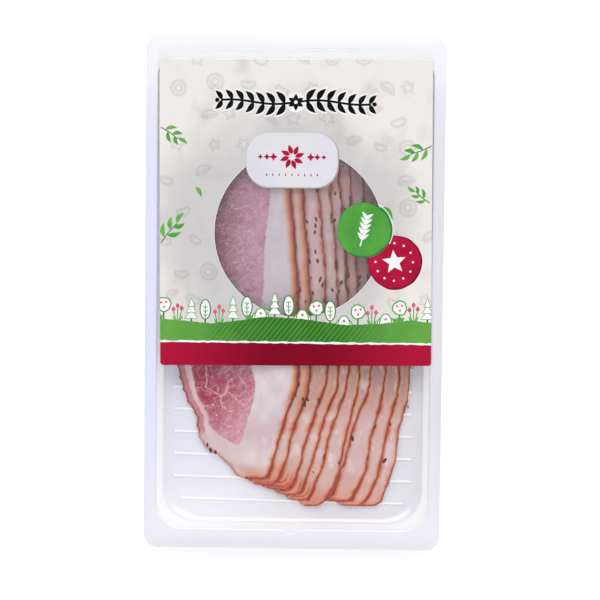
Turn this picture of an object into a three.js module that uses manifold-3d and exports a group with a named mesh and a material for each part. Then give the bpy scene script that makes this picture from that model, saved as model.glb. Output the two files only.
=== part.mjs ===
// Sliced cured ham in a shallow heat-sealed tray pack, lying flat with its clear film up.
// Millimetres, +Z up. X runs across the pack and Y along it. The origin is on the
// underside of the tray, below the middle of the pack.
import * as THREE from "three";
import { mergeVertices } from "three/addons/utils/BufferGeometryUtils.js";
import Module from "manifold-3d";

const wasm = await Module();
wasm.setup();

// ---- Pack: outer size, sheet and the film sealed on top of it ----
const PACK_WIDTH = 132;
const PACK_LENGTH = 228;
const PACK_CORNER = 6;
const FLANGE_TOP = 14;
const SHEET = 0.5;
const FACE_GAP = 0.05; // between flat faces that lie on each other
const FILM = 0.2;
const LABEL_SHEET = 0.2;

// ---- Cavity: rim outline, draft of its walls and the fillet round its floor ----
const RIM_HALF_WIDTH = 60.6;
const RIM_FRONT = -105.3;
const RIM_BACK = 107;
const RIM_CORNER = 12;
const FLOOR_CORNER = 17;
const SIDE_DRAFT = 2.2; // how far a wall leans in from rim to fillet
const END_DRAFT = 0.8;
const FLOOR_FILLET = 2.5;
const NOTCH_HALF_WIDTH = 4.5;
const NOTCH_DEPTH = 2;
const CORNER_STEPS = 5;
const FILLET_STEPS = 3;

// ---- Drip ribs pressed up into the floor ----
const RIB_COUNT = 20;
const RIB_PITCH = 10.15;
const RIB_FRONT = -94.6;
const RIB_HALF_LENGTH = 54.5;
const END_RIB_HALF_LENGTH = 51.2; // the first and last rib stop short of the round corners
const RIB_HALF_WIDTH = 1.1;
const RIB_HEIGHT = 0.8;
const RIB_CREST = 0.35; // half the width of a rib's flat crest
const RIB_SKEW = THREE.MathUtils.degToRad(-0.8);

// ---- Label: printed sheet with a round clear window ----
const LABEL_WIDTH = 120.2;
const LABEL_LENGTH = 135.6;
const LABEL_CENTRE = new THREE.Vector2(0.5, 36);
const LABEL_TURN = THREE.MathUtils.degToRad(0.5);
const LABEL_CORNER = 1.4;
const WINDOW_RADIUS = 37.3;
const WINDOW_CENTRE = new THREE.Vector2(1.9, 27.1);
const WINDOW_GAP = 0.3;

// ---- Ham: slices lie like roof tiles, the first on top and furthest left ----
const SLICE_THICKNESS = 0.95;
const SLICE_GAP = 0.15;
const SLICE_STEP = 5.5;
const LAYER = SLICE_THICKNESS + SLICE_GAP;
const HAM_BOTTOM = SHEET + RIB_HEIGHT + 0.1;
const HAM_BACK = 91; // far end of the first slice
const SLICE_BELLY = -33; // height at which the slices are widest to the right
// The left edge of the first slice as [height, sideways] pairs. Its skin steps in below
// the belly, bulges out again and ends in a notch above the round foot.
const LEFT_EDGE = [
  [110, -54.4],
  [40, -55.6],
  [-8, -55],
  [-33, -52.2],
  [-49, -47.8],
  [-56, -43.7],
  [-64, -42.6],
  [-70, -39.6],
  [-74.6, -33],
  [-79.3, -28],
  [-84, -24.4],
  [-100, -12],
];
// A rind as [height, sideways] pairs, measured from where it stands at the belly. Below
// the belly an inner rind swings in at once, and an outer one holds out and cuts in late.
const UPPER_RIND = [
  [110, -8.5],
  [46, -4.6],
  [10, -1.4],
  [SLICE_BELLY, 0],
];
const INNER_RIND = [
  ...UPPER_RIND,
  [-44, -1.4],
  [-51, -4.2],
  [-64, -8.5],
  [-78, -12],
  [-92, -17.4],
  [-100, -21.5],
];
const OUTER_RIND = [
  ...UPPER_RIND,
  [-46, -1],
  [-63, -5.4],
  [-80, -8.4],
  [-93, -13.9],
  [-100, -18],
];
// Each slice: where its rind stands at the belly, where its foot ends, which way its rind
// runs and how much of that rind's swing below the belly it has.
const SLICES = [
  { rind: 2.8, foot: -84.6, profile: INNER_RIND, swing: 1 },
  { rind: 8.2, foot: -87.2, profile: INNER_RIND, swing: 1 },
  { rind: 15.2, foot: -89.2, profile: INNER_RIND, swing: 1 },
  { rind: 20.4, foot: -91.4, profile: INNER_RIND, swing: 1 },
  { rind: 24.8, foot: -94, profile: INNER_RIND, swing: 0.96 },
  { rind: 29.4, foot: -96.6, profile: OUTER_RIND, swing: 1 },
  { rind: 34.9, foot: -94, profile: INNER_RIND, swing: 1 },
  { rind: 41.1, foot: -94.2, profile: OUTER_RIND, swing: 1 },
  { rind: 47.5, foot: -96.2, profile: OUTER_RIND, swing: 1 },
  { rind: 52.5, foot: -96.4, profile: OUTER_RIND, swing: 0.85 },
];
const FOOT_CORNER = 3;
const BACK_CORNER = 14;
const BODY_STEPS = 20; // rows of points between a slice's two round ends
const BODY_SPREAD = 1.6; // above 1, the rows crowd towards the foot
const RIPPLE = 0.2; // how far a rind wanders off its smooth line
const RIPPLE_LENGTH = 23;
const COLUMN_MARGIN = 0.3;
// Heights at which the bends of the draped sheets are set, closer together near the foot.
const BEND_ROWS = [-101, -94, -87, -82, -77, -73, -68, -62, -55, -48, -40, -30, -10, 30, 84, 96];

// ---- Peppercorn and char flecks stuck on the visible rinds: slice, height, size ----
const FLECKS = [
  { slice: 1, at: -40, size: 0.9 },
  { slice: 2, at: -49, size: 1.5 },
  { slice: 2, at: 8, size: 0.9 },
  { slice: 3, at: -47, size: 0.9 },
  { slice: 3, at: 12, size: 0.8 },
  { slice: 4, at: 6, size: 0.9 },
  { slice: 5, at: -36, size: 0.7 },
  { slice: 5, at: -74, size: 0.7 },
  { slice: 6, at: -77, size: 0.7 },
  { slice: 7, at: -65, size: 1 },
  { slice: 8, at: -60, size: 0.8 },
  { slice: 9, at: -59, size: 0.7 },
  { slice: 10, at: -50, size: 0.8 },
];
const FLECK_INSET = 0.5; // from the rind to the middle of a fleck
const FLECK_HEIGHT = 0.35;

// ---- Materials ----
const milky = { roughness: 0.35, metalness: 0 };
const trayPlastic = new THREE.MeshStandardMaterial({ color: 0xf0eff6, ...milky });
const clearFilm = new THREE.MeshStandardMaterial({
  color: 0xffffff,
  roughness: 0.1,
  metalness: 0,
  transparent: true,
  opacity: 0.12,
});
const labelPrint = new THREE.MeshStandardMaterial({ color: 0xd6d0cc, roughness: 0.5 });
const curedHam = new THREE.MeshStandardMaterial({ color: 0xc9939c, roughness: 0.45 });

// ---- Solids ----
function toSolid(geometry) {
  geometry.deleteAttribute("normal");
  geometry.deleteAttribute("uv");
  const merged = mergeVertices(geometry, 1e-4);
  const vertProperties = new Float32Array(merged.attributes.position.array);
  const triVerts = new Uint32Array(merged.index.array);
  return new wasm.Manifold(new wasm.Mesh({ numProp: 3, vertProperties, triVerts }));
}

function toGeometry(solid) {
  const mesh = solid.getMesh();
  const geometry = new THREE.BufferGeometry();
  const positions = new THREE.BufferAttribute(mesh.vertProperties, 3);
  geometry.setAttribute("position", positions);
  geometry.setIndex(new THREE.BufferAttribute(mesh.triVerts, 1));
  return geometry;
}

// A vertical prism on a closed outline of Vector2s.
function prism(outline, bottom, height) {
  const shape = new THREE.Shape(outline);
  const geometry = new THREE.ExtrudeGeometry(shape, { depth: height, bevelEnabled: false });
  return geometry.translate(0, 0, bottom);
}

function roundedOutline(halfWidth, low, high, corner, steps = CORNER_STEPS, notch = 0) {
  const centres = [
    [halfWidth - corner, low + corner, -90],
    [halfWidth - corner, high - corner, 0],
    [corner - halfWidth, high - corner, 90],
    [corner - halfWidth, low + corner, 180],
  ];
  const points = [];
  for (const [x, y, start] of centres) {
    for (let i = 0; i <= steps; i++) {
      const angle = THREE.MathUtils.degToRad(start + (90 * i) / steps);
      points.push(new THREE.Vector2(x + corner * Math.cos(angle), y + corner * Math.sin(angle)));
    }
  }
  if (notch > 0) {
    points.push(new THREE.Vector2(-NOTCH_HALF_WIDTH, low));
    points.push(new THREE.Vector2(0, low - notch));
    points.push(new THREE.Vector2(NOTCH_HALF_WIDTH, low));
  }
  return points;
}

// A closed solid through level sections, given from the bottom up as { outline, z }.
function loft(sections) {
  const count = sections[0].outline.length;
  const positions = [];
  const indices = [];
  for (const { outline, z } of sections) {
    for (const point of outline) positions.push(point.x, point.y, z);
  }
  for (let s = 0; s + 1 < sections.length; s++) {
    for (let i = 0; i < count; i++) {
      const a = s * count + i;
      const b = s * count + ((i + 1) % count);
      indices.push(a, b, a + count, b, b + count, a + count);
    }
  }
  const last = sections.length - 1;
  const cap = (section, upwards) => {
    const middle = positions.length / 3;
    positions.push(0, 0, sections[section].z);
    for (let i = 0; i < count; i++) {
      const a = section * count + i;
      const b = section * count + ((i + 1) % count);
      if (upwards) indices.push(a, b, middle);
      else indices.push(b, a, middle);
    }
  };
  cap(0, false);
  cap(last, true);
  const geometry = new THREE.BufferGeometry();
  geometry.setAttribute("position", new THREE.Float32BufferAttribute(positions, 3));
  geometry.setIndex(indices);
  return geometry;
}

// ---- Tray ----
// The basin's skin, grown outwards and downwards by grow. Its sections run from the
// floor, up the fillet, to the height top.
function basin(grow, top) {
  const floorZ = SHEET - grow;
  const fillet = FLOOR_FILLET + grow;
  const filletTop = SHEET + FLOOR_FILLET;
  const sections = [];
  for (let i = 0; i <= FILLET_STEPS; i++) {
    const angle = (Math.PI / 2) * (1 - i / FILLET_STEPS);
    const inset = fillet * (1 - Math.cos(angle)) - grow;
    const share = i / FILLET_STEPS;
    sections.push({
      side: SIDE_DRAFT + inset,
      end: END_DRAFT + inset,
      corner: THREE.MathUtils.lerp(FLOOR_CORNER, (FLOOR_CORNER + RIM_CORNER) / 2, share),
      notch: 0.2 + 0.3 * share,
      z: i === 0 ? floorZ : filletTop - fillet * Math.sin(angle),
    });
  }
  sections.push({ side: -grow, end: -grow, corner: RIM_CORNER, notch: NOTCH_DEPTH, z: top });
  return loft(
    sections.map(({ side, end, corner, notch, z }) => ({
      outline: roundedOutline(
        RIM_HALF_WIDTH - side,
        RIM_FRONT + end,
        RIM_BACK - end,
        corner,
        CORNER_STEPS,
        notch,
      ),
      z,
    })),
  );
}

// One rib: a long bar with sloped flanks and ends, shrunk all round by thinner.
function rib(index, thinner, bottom) {
  const halfWidth = RIB_HALF_WIDTH - thinner;
  const top = SHEET + RIB_HEIGHT - thinner;
  const atEnd = index === 0 || index === RIB_COUNT - 1;
  const halfLength = (atEnd ? END_RIB_HALF_LENGTH : RIB_HALF_LENGTH) - thinner;
  const level = (inset, z) => ({
    outline: roundedOutline(
      halfLength - inset,
      inset - halfWidth,
      halfWidth - inset,
      (halfWidth - inset) * 0.9,
      2,
    ),
    z,
  });
  const geometry = loft([level(0, bottom), level(halfWidth - RIB_CREST, top)]);
  geometry.rotateZ(RIB_SKEW);
  return geometry.translate(0, RIB_FRONT + index * RIB_PITCH, 0);
}

function tray() {
  const plate = roundedOutline(PACK_WIDTH / 2, -PACK_LENGTH / 2, PACK_LENGTH / 2, PACK_CORNER);
  let solid = toSolid(prism(plate, FLANGE_TOP - SHEET, SHEET));
  solid = solid.add(toSolid(basin(SHEET, FLANGE_TOP - SHEET / 2)));
  solid = solid.subtract(toSolid(basin(0, FLANGE_TOP)));
  for (let i = 0; i < RIB_COUNT; i++) {
    solid = solid.add(toSolid(rib(i, 0, SHEET / 2)));
    solid = solid.subtract(toSolid(rib(i, SHEET * 0.7, -SHEET)));
  }
  return toGeometry(solid);
}

// ---- Film and label ----
function film() {
  const outline = roundedOutline(PACK_WIDTH / 2, -PACK_LENGTH / 2, PACK_LENGTH / 2, PACK_CORNER);
  return prism(outline, FLANGE_TOP + FACE_GAP, FILM);
}

const LABEL_BOTTOM = FLANGE_TOP + FILM + 2 * FACE_GAP;

function label() {
  const half = LABEL_LENGTH / 2;
  const outline = roundedOutline(LABEL_WIDTH / 2, -half, half, LABEL_CORNER, 2);
  const placed = outline.map((p) => p.rotateAround(new THREE.Vector2(), LABEL_TURN).add(LABEL_CENTRE));
  const shape = new THREE.Shape(placed);
  const hole = new THREE.Path();
  hole.absarc(WINDOW_CENTRE.x, WINDOW_CENTRE.y, WINDOW_RADIUS, 0, 2 * Math.PI, true);
  shape.holes.push(hole);
  const options = { depth: LABEL_SHEET, bevelEnabled: false, curveSegments: 24 };
  return new THREE.ExtrudeGeometry(shape, options).translate(0, 0, LABEL_BOTTOM);
}

function labelWindow() {
  const radius = WINDOW_RADIUS - WINDOW_GAP;
  const disc = new THREE.CylinderGeometry(radius, radius, LABEL_SHEET, 48);
  disc.rotateX(Math.PI / 2);
  return disc.translate(WINDOW_CENTRE.x, WINDOW_CENTRE.y, LABEL_BOTTOM + LABEL_SHEET / 2);
}

// ---- Ham slices ----
// A smooth line through [height, value] pairs that fall in height, read at y.
function profileAt(pairs, y) {
  const last = pairs.length - 1;
  const i = Math.min(Math.max(pairs.findIndex(([height]) => height <= y), 1), last);
  const [y0, v0] = pairs[i - 1];
  const [y1, v1] = pairs[i];
  const slope = (j) => {
    const before = pairs[Math.max(j - 1, 0)];
    const after = pairs[Math.min(j + 1, last)];
    return (after[1] - before[1]) / (after[0] - before[0]);
  };
  const t = THREE.MathUtils.clamp((y - y0) / (y1 - y0), 0, 1);
  const span = y1 - y0;
  const rise = 2 * t ** 3 - 3 * t ** 2 + 1;
  const fall = 3 * t ** 2 - 2 * t ** 3;
  const leave = (t ** 3 - 2 * t ** 2 + t) * span * slope(i - 1);
  const arrive = (t ** 3 - t ** 2) * span * slope(i);
  return rise * v0 + fall * v1 + leave + arrive;
}

function leftEdge(index, y) {
  const shift = SLICES[index].foot - SLICES[0].foot;
  return profileAt(LEFT_EDGE, y - shift) + SLICE_STEP * index;
}

function rindEdge(index, y) {
  const { rind, profile, swing } = SLICES[index];
  const bend = profileAt(profile, y);
  const share = y < SLICE_BELLY ? swing : 1;
  const phase = 2.4 * index;
  const ripple = RIPPLE * Math.sin((2 * Math.PI * y) / RIPPLE_LENGTH + phase);
  return rind + bend * share + ripple;
}

// How far a round corner draws an edge in, at a distance from the end of the slice.
function cornerInset(distance, radius) {
  const reach = THREE.MathUtils.clamp(1 - distance / radius, 0, 1);
  return radius * (1 - Math.sqrt(1 - reach * reach));
}

function sliceOutline(index) {
  const { foot } = SLICES[index];
  const back = HAM_BACK - 0.5 * index + (index % 3);
  const footWidth = rindEdge(index, foot) - leftEdge(index, foot);
  const footCorner = Math.min(FOOT_CORNER, 0.4 * footWidth);
  const heights = [];
  const footSteps = [0, 0.12, 0.35, 0.65, 1];
  for (const step of footSteps) heights.push(foot + step * footCorner);
  const bodyStart = foot + footCorner;
  const bodyEnd = back - BACK_CORNER;
  for (let i = 1; i < BODY_STEPS; i++) {
    const share = (i / BODY_STEPS) ** BODY_SPREAD;
    heights.push(THREE.MathUtils.lerp(bodyStart, bodyEnd, share));
  }
  const backSteps = [1, 0.6, 0.3, 0.1, 0];
  for (const step of backSteps) heights.push(back - step * BACK_CORNER);
  const edge = (side, y) => {
    const inset = cornerInset(y - foot, footCorner) + cornerInset(back - y, BACK_CORNER);
    const x = side < 0 ? leftEdge(index, y) : rindEdge(index, y);
    return new THREE.Vector2(x - side * inset, y);
  };
  const right = heights.map((y) => edge(1, y));
  const left = heights.map((y) => edge(-1, y)).reverse();
  return [...right, ...left];
}

// Where slice index and those above it begin to climb, at each height along the pack.
function column(index, y) {
  return leftEdge(index, y) - COLUMN_MARGIN;
}

// The sheet that a slice is cut from. It lies on the floor up to its own left edge and
// rises by one layer at the left edge of each slice beneath it.
function sheet(index) {
  const last = SLICES.length - 1;
  const right = SLICES[last].rind + 8;
  const columns = [];
  for (let i = index; i <= last; i++) {
    columns.push({ at: (y) => column(i, y), rise: LAYER * (i - index) });
  }
  const stackRise = LAYER * (last - index);
  columns.push({ at: () => right, rise: stackRise });
  const sections = columns.length;
  const positions = [];
  const indices = [];
  for (const lift of [0, SLICE_THICKNESS]) {
    for (const y of BEND_ROWS) {
      for (const { at, rise } of columns) positions.push(at(y), y, HAM_BOTTOM + rise + lift);
    }
  }
  const upper = BEND_ROWS.length * sections;
  const quad = (a, b, c, d) => indices.push(a, b, c, a, c, d);
  for (let r = 0; r + 1 < BEND_ROWS.length; r++) {
    for (let c = 0; c + 1 < sections; c++) {
      const a = r * sections + c;
      const b = a + 1;
      const d = a + sections;
      const e = d + 1;
      quad(b, a, d, e);
      quad(upper + d, upper + a, upper + b, upper + e);
    }
    const low = r * sections;
    const high = low + sections;
    quad(low, upper + low, upper + high, high);
    const lowEnd = high - 1;
    const highEnd = high + sections - 1;
    quad(highEnd, upper + highEnd, upper + lowEnd, lowEnd);
  }
  for (let c = 0; c + 1 < sections; c++) {
    quad(c, c + 1, upper + c + 1, upper + c);
    const back = upper - sections + c;
    quad(back + 1, back, upper + back, upper + back + 1);
  }
  const geometry = new THREE.BufferGeometry();
  geometry.setAttribute("position", new THREE.Float32BufferAttribute(positions, 3));
  geometry.setIndex(indices);
  return geometry;
}

function fleck({ slice, at, size }, index) {
  const layersBelow = SLICES.length - slice;
  const surface = HAM_BOTTOM + LAYER * layersBelow + SLICE_THICKNESS;
  const geometry = new THREE.IcosahedronGeometry(1, 0);
  geometry.scale(size * 0.7, size, FLECK_HEIGHT);
  geometry.rotateZ(index);
  return geometry.translate(rindEdge(slice - 1, at) - FLECK_INSET, at, surface);
}

function slice(index) {
  const tall = LAYER * SLICES.length + SLICE_THICKNESS;
  const cutter = toSolid(prism(sliceOutline(index), 0, HAM_BOTTOM + tall));
  let solid = toSolid(sheet(index)).intersect(cutter);
  FLECKS.forEach((entry, i) => {
    if (entry.slice === index + 1) solid = solid.add(toSolid(fleck(entry, i)));
  });
  return toGeometry(solid);
}

// ---- The pack ----
function piece(name, geometry, material) {
  geometry.computeVertexNormals();
  const mesh = new THREE.Mesh(geometry, material);
  mesh.name = name;
  return mesh;
}

const pack = new THREE.Group();
pack.add(piece("tray", tray(), trayPlastic));
pack.add(piece("lid_film", film(), clearFilm));
pack.add(piece("label", label(), labelPrint));
pack.add(piece("label_window", labelWindow(), clearFilm));

const ham = new THREE.Group();
SLICES.forEach((_, index) => {
  const name = "ham_slice_" + String(index + 1).padStart(2, "0");
  ham.add(piece(name, slice(index), curedHam));
});
pack.add(ham);

export default pack;
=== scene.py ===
"""The looks of a pack of sliced cured ham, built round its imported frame.

A shallow milky tray holds ten slices, fanned like roof tiles. A clear film is sealed to the
flange, and a printed label with a round clear window lies on the film.
Lengths are millimetres, as in the part's source, until make_piece() turns them into metres.
+Z is up, X runs across the pack and Y along it.
"""
import math

import bmesh
import bpy
import numpy as np
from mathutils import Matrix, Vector
from mathutils.geometry import delaunay_2d_cdt


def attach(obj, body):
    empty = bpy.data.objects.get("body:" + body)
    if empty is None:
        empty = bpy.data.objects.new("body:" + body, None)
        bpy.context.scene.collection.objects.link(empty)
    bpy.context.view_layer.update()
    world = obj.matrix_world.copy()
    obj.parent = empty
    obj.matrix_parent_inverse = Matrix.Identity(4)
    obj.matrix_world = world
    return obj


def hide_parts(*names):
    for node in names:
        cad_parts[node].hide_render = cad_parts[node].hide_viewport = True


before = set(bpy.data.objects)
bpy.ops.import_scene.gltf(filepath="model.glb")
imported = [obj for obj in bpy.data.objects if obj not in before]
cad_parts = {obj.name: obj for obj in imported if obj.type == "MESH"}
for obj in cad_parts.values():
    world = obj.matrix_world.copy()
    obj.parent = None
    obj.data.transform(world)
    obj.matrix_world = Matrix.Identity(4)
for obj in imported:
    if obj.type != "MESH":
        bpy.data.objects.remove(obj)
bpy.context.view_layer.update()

MM = 0.001
TURN = 2 * math.pi

# ---- Pack, as in the part's source ----
PACK_HALF_WIDTH = 66
PACK_HALF_LENGTH = 114
PACK_CORNER = 6
FLANGE_TOP = 14
SHEET = 0.5
FACE_GAP = 0.05
FILM = 0.2
LABEL_SHEET = 0.2
LABEL_BOTTOM = FLANGE_TOP + FILM + 2 * FACE_GAP

RIM_HALF_WIDTH = 60.6
RIM_FRONT = -105.3
RIM_BACK = 107
RIM_CORNER = 12
RIM_ROUND = 0.8
FLOOR_CORNER = 17
SIDE_DRAFT = 2.2
END_DRAFT = 0.8
FLOOR_FILLET = 2.5
NOTCH_HALF_WIDTH = 5
NOTCH_DEPTH = 2

RIB_COUNT = 20
RIB_PITCH = 10.15
RIB_FRONT = -94.6
RIB_HALF_LENGTH = 54.5
END_RIB_HALF_LENGTH = 51.2
RIB_HALF_WIDTH = 1.2
RIB_HEIGHT = 0.8
RIB_SKEW = -0.8
# The tray's colour is whitened at its two ends as a painted highlight. SKIN_GLINT says how bright
# each ring of a skin is painted there, from the flange in to the floor.
GLINT_START = 97
GLINT_FADE = 3
SKIN_GLINT = (0, 0, 0.2, 0.8, 0.8, 0.2, 0, 0, 0, 0, 0, 0, 0.3, 0.9, 0.9, 0.3, 0)

LABEL_HALF_WIDTH = 60.1
LABEL_HALF_LENGTH = 67.8
LABEL_CENTRE = (0.5, 36)
LABEL_TURN = 0.5
LABEL_CORNER = 1.4
WINDOW_RADIUS = 37.3
WINDOW_CENTRE = (1.9, 27.1)
# The film is whitish and half opaque where it spans the gap between the label's far edge and the
# rim: painted light over the shade in that gap.
GAP_LIGHT_START = 102
GAP_LIGHT_END = 108

# ---- Ham, as in the part's source ----
SLICE_THICKNESS = 0.95
SLICE_STEP = 5.5
LAYER = 1.1
HAM_BOTTOM = 1.4
HAM_BACK = 91
SLICE_BELLY = -33
# The first slice's left edge as (height, sideways) pairs, and the two ways a rind runs,
# measured from where it stands at the belly.
LEFT_EDGE = [
    (110, -54.4), (40, -55.6), (-8, -55), (-33, -52.2), (-49, -47.8), (-56, -43.7),
    (-64, -42.6), (-70, -39.6), (-74.6, -33), (-79.3, -28), (-84, -24.4), (-100, -12),
]
UPPER_RIND = [(110, -8.5), (46, -4.6), (10, -1.4), (SLICE_BELLY, 0)]
INNER_RIND = [*UPPER_RIND, (-44, -1.4), (-51, -4.2), (-64, -8.5), (-78, -12), (-92, -17.4), (-100, -21.5)]
OUTER_RIND = [*UPPER_RIND, (-46, -1), (-63, -5.4), (-80, -8.4), (-93, -13.9), (-100, -18)]
# Each slice: where its rind stands at the belly, where its foot ends, which way its rind
# runs and how much of that rind's swing below the belly it has.
SLICES = [
    (2.8, -84.6, INNER_RIND, 1), (8.2, -87.2, INNER_RIND, 1), (15.2, -89.2, INNER_RIND, 1),
    (20.4, -91.4, INNER_RIND, 1), (24.8, -94, INNER_RIND, 0.96), (29.4, -96.6, OUTER_RIND, 1),
    (34.9, -94, INNER_RIND, 1), (41.1, -94.2, OUTER_RIND, 1), (47.5, -96.2, OUTER_RIND, 1),
    (52.5, -96.4, OUTER_RIND, 0.85),
]
FOOT_CORNER = 3
BACK_CORNER = 14
RIPPLE = 0.2
RIPPLE_LENGTH = 23
COLUMN_MARGIN = 0.3
EDGE_ROUND = 0.42
# How far apart a slice's rows of points stand, below the label and under it, and how far its
# columns of points stand from its rind.
FINE_STEP = 0.7
FINE_END = -26
COARSE_STEP = 1.2
COLUMNS_FROM_RIND = [
    0, 0.12, 0.28, 0.5, 0.8, 1.15, 1.55, 2, 2.5, 3.1, 3.8, 4.6, 5.5, 6.5, 7.6, 8.8, 10.2, 12,
]
# The muscle of the first slice, as (x, y) round its outline.
MUSCLE = [
    (-49.5, 84), (-51, 40), (-50.5, 0), (-48.6, -22), (-46, -34), (-44.2, -43), (-42.5, -51),
    (-39.4, -57.6), (-35.2, -63), (-31.2, -66), (-27.4, -67.8), (-24.2, -69), (-22.4, -65.1),
    (-20.2, -57.5), (-17.8, -49), (-16.8, -40), (-18.2, -33), (-15.5, -16), (-13.5, 2),
    (-13.4, 16), (-12.4, 29), (-10.6, 48), (-12, 66), (-19, 80), (-34, 87),
]
# Marbling of the first slice: each vein is a line of (x, y) points.
VEINS = [
    [(-39.1, -33.3), (-38.8, -40.8), (-39.4, -43), (-35.4, -45.1), (-32.3, -47.2)],
    [(-32.3, -47.2), (-29.6, -44.4), (-29.3, -40.7), (-27.5, -38.9)],
    [(-32.3, -47.2), (-31.9, -51.2), (-28.6, -53.6), (-26.5, -53.4)],
    [(-28.6, -45), (-26.2, -46.9), (-24.3, -49.3), (-21.3, -50.5)],
    [(-40.8, -51.9), (-37.1, -51.2), (-35.3, -50.6)],
    [(-38.9, -57.4), (-37.1, -57.4), (-34, -57.7)],
    [(-30.9, -59.2), (-29.1, -60.7), (-27.3, -60.4)],
    [(-36.4, -38), (-36, -38.6)],
    [(-34.3, -55.5), (-34.1, -56)],
    [(-24, -38), (-20.5, -42)],
    [(-30, 40), (-26, 37), (-21, 38.5), (-17, 36)],
    [(-31, 22), (-27.5, 20.5), (-24, 22)],
    [(-28, 13), (-22, 14.2), (-17, 12.6)],
    [(-25, 30), (-22, 27), (-19, 28)],
    [(-29, 3), (-24, 1), (-20, 2.5)],
]

# Grey smudges on the first slice's fat, as (x, y, radius), and the turn of its muscle fibres.
SMUDGES = [(-8.7, -59.5, 1.3), (-12.9, -57.2, 1), (-4.5, -61, 0.9)]
FIBRE_TURN = 38
# How much the foot of each slice is browned and lined as if curled up.
CURLS = (0, 0.35, 1, 1, 0.75, 0.1, 0.35, 0, 0.2, 0.1)

# ---- Peppercorn and char flecks: (x, y, size) ----
FLECKS = [
    (2.5, -40.3, 1.4), (5.1, -49.2, 1.8), (6.3, -47, 1.6), (4.5, -47.2, 1.2), (11.5, -47.8, 1.5),
    (1.3, -45.8, 0.8), (24.4, -37, 1.1), (26.7, -65.3, 1.6), (36.9, -59.9, 1.1), (43.8, -59.3, 1.1),
    (41.5, -75.5, 1.8), (14.4, -73.3, 1.1), (20.8, -76.2, 0.7), (9.5, -80.4, 0.7), (24.3, -73.8, 0.5),
    (51.7, -51, 0.7), (5.4, 32, 1.2), (5, 26.9, 1.2), (0.5, 20.9, 1.1), (0.5, 17.5, 0.8),
    (9.5, 33, 1.3), (9.3, 30.1, 1.3), (8.9, 27.2, 1.3), (9.6, 46.2, 1.6), (9.3, 18.5, 1.2),
    (10.3, 14.6, 1.3), (6, 19, 1.3), (6.5, 14.6, 1.7), (17.6, 32.5, 1.5), (17.8, 44.5, 1.1),
    (18.5, 13.9, 1.6), (18.7, 11.8, 1.6), (23.6, 10.6, 1.4), (23.9, 8, 1.8), (21, 4.9, 1.3),
    (11.6, 6.4, 1.5), (12.6, 4, 1.4), (17, 1.6, 1.2), (2.5, 1.6, 1.6), (1.8, -0.6, 1.6),
    (8.5, 0.1, 1), (5.2, -3.5, 0.9), (19.9, 0.7, 1.1), (23.9, 1.2, 1.3), (29.2, 7, 1.4),
    (29, 4.1, 1.3), (22, 37.6, 1.1), (7.5, 6.9, 0.8), (13.4, -3.2, 1.2), (13.7, 12.7, 0.8),
    (-38.4, -69.2, 1.2), (-36.8, -71.3, 1.6), (-34.6, -72.4, 1.5), (-20.6, -84, 0.8),
]

# ---- Film and label: soft creases as (x, y, degrees, length, width, height) ----
CREASES = [
    (-46, 66, 70, 16, 5, 0.35), (-50, 30, 96, 22, 4.5, -0.4), (-42, 8, 60, 12, 4, 0.35),
    (-37, 50, 120, 12, 4, -0.3), (-10, 74, 8, 26, 5, 0.28), (26, 72, 160, 20, 6, -0.3),
    (48, 58, 100, 18, 5, 0.35), (54, 22, 85, 18, 4, -0.3), (40, -4, 30, 12, 5, 0.25),
    (30, 50, 130, 10, 4, 0.25), (0, -26, 2, 60, 4, 0.12), (0, 27, 20, 30, 18, -0.3),
]

# ---- Label art ----
INK_GLOSS = 0.04
HILL_TOP = [
    (-61.5, -11.4), (-48, -12.4), (-36.4, -13.5), (-24, -12), (-12.5, -10.2), (4, -11),
    (22.6, -13.5), (38, -12.8), (51.2, -11.1), (62, -12.2),
]
# Sprigs as (x, y, degrees, size).
SPRIGS = [(-59.5, 73, -35, 9), (-59, 22, 50, 11), (60, 66, 200, 10), (59.5, 41, 140, 8)]
TORN_TOP = -21.2
BAND_TOP = -22
# The grid of points that lets the printed sheet follow its creases.
PLAN_STEP = 1.9
PLAN_ACROSS = (-62, 63)
PLAN_ALONG = (-33, 106)

# ---- Camera, fitted to the corners of the flange ----
CAMERA_PLACE = (18, 68.3, 1000)
CAMERA_TURN = (-4.107, 0.931, 0.632)
CAMERA_LENS = 133.9

# ---- Studio: the floor's reach in metres, the lights, and the sun's angles in degrees ----
FLOOR_REACH = 3.0
FLOOR_GLOW = 0.15
WORLD_LIGHT = 0.95
SUN_POWER = 0.8
SUN_SPREAD = 35
SUN_TILT = -42


def srgb(red, green, blue):
    """A linear colour with alpha from sRGB values of 0 to 255."""
    shares = [value / 255 for value in (red, green, blue)]
    return tuple(s / 12.92 if s < 0.04 else ((s + 0.055) / 1.055) ** 2.4 for s in shares) + (1.0,)


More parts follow.
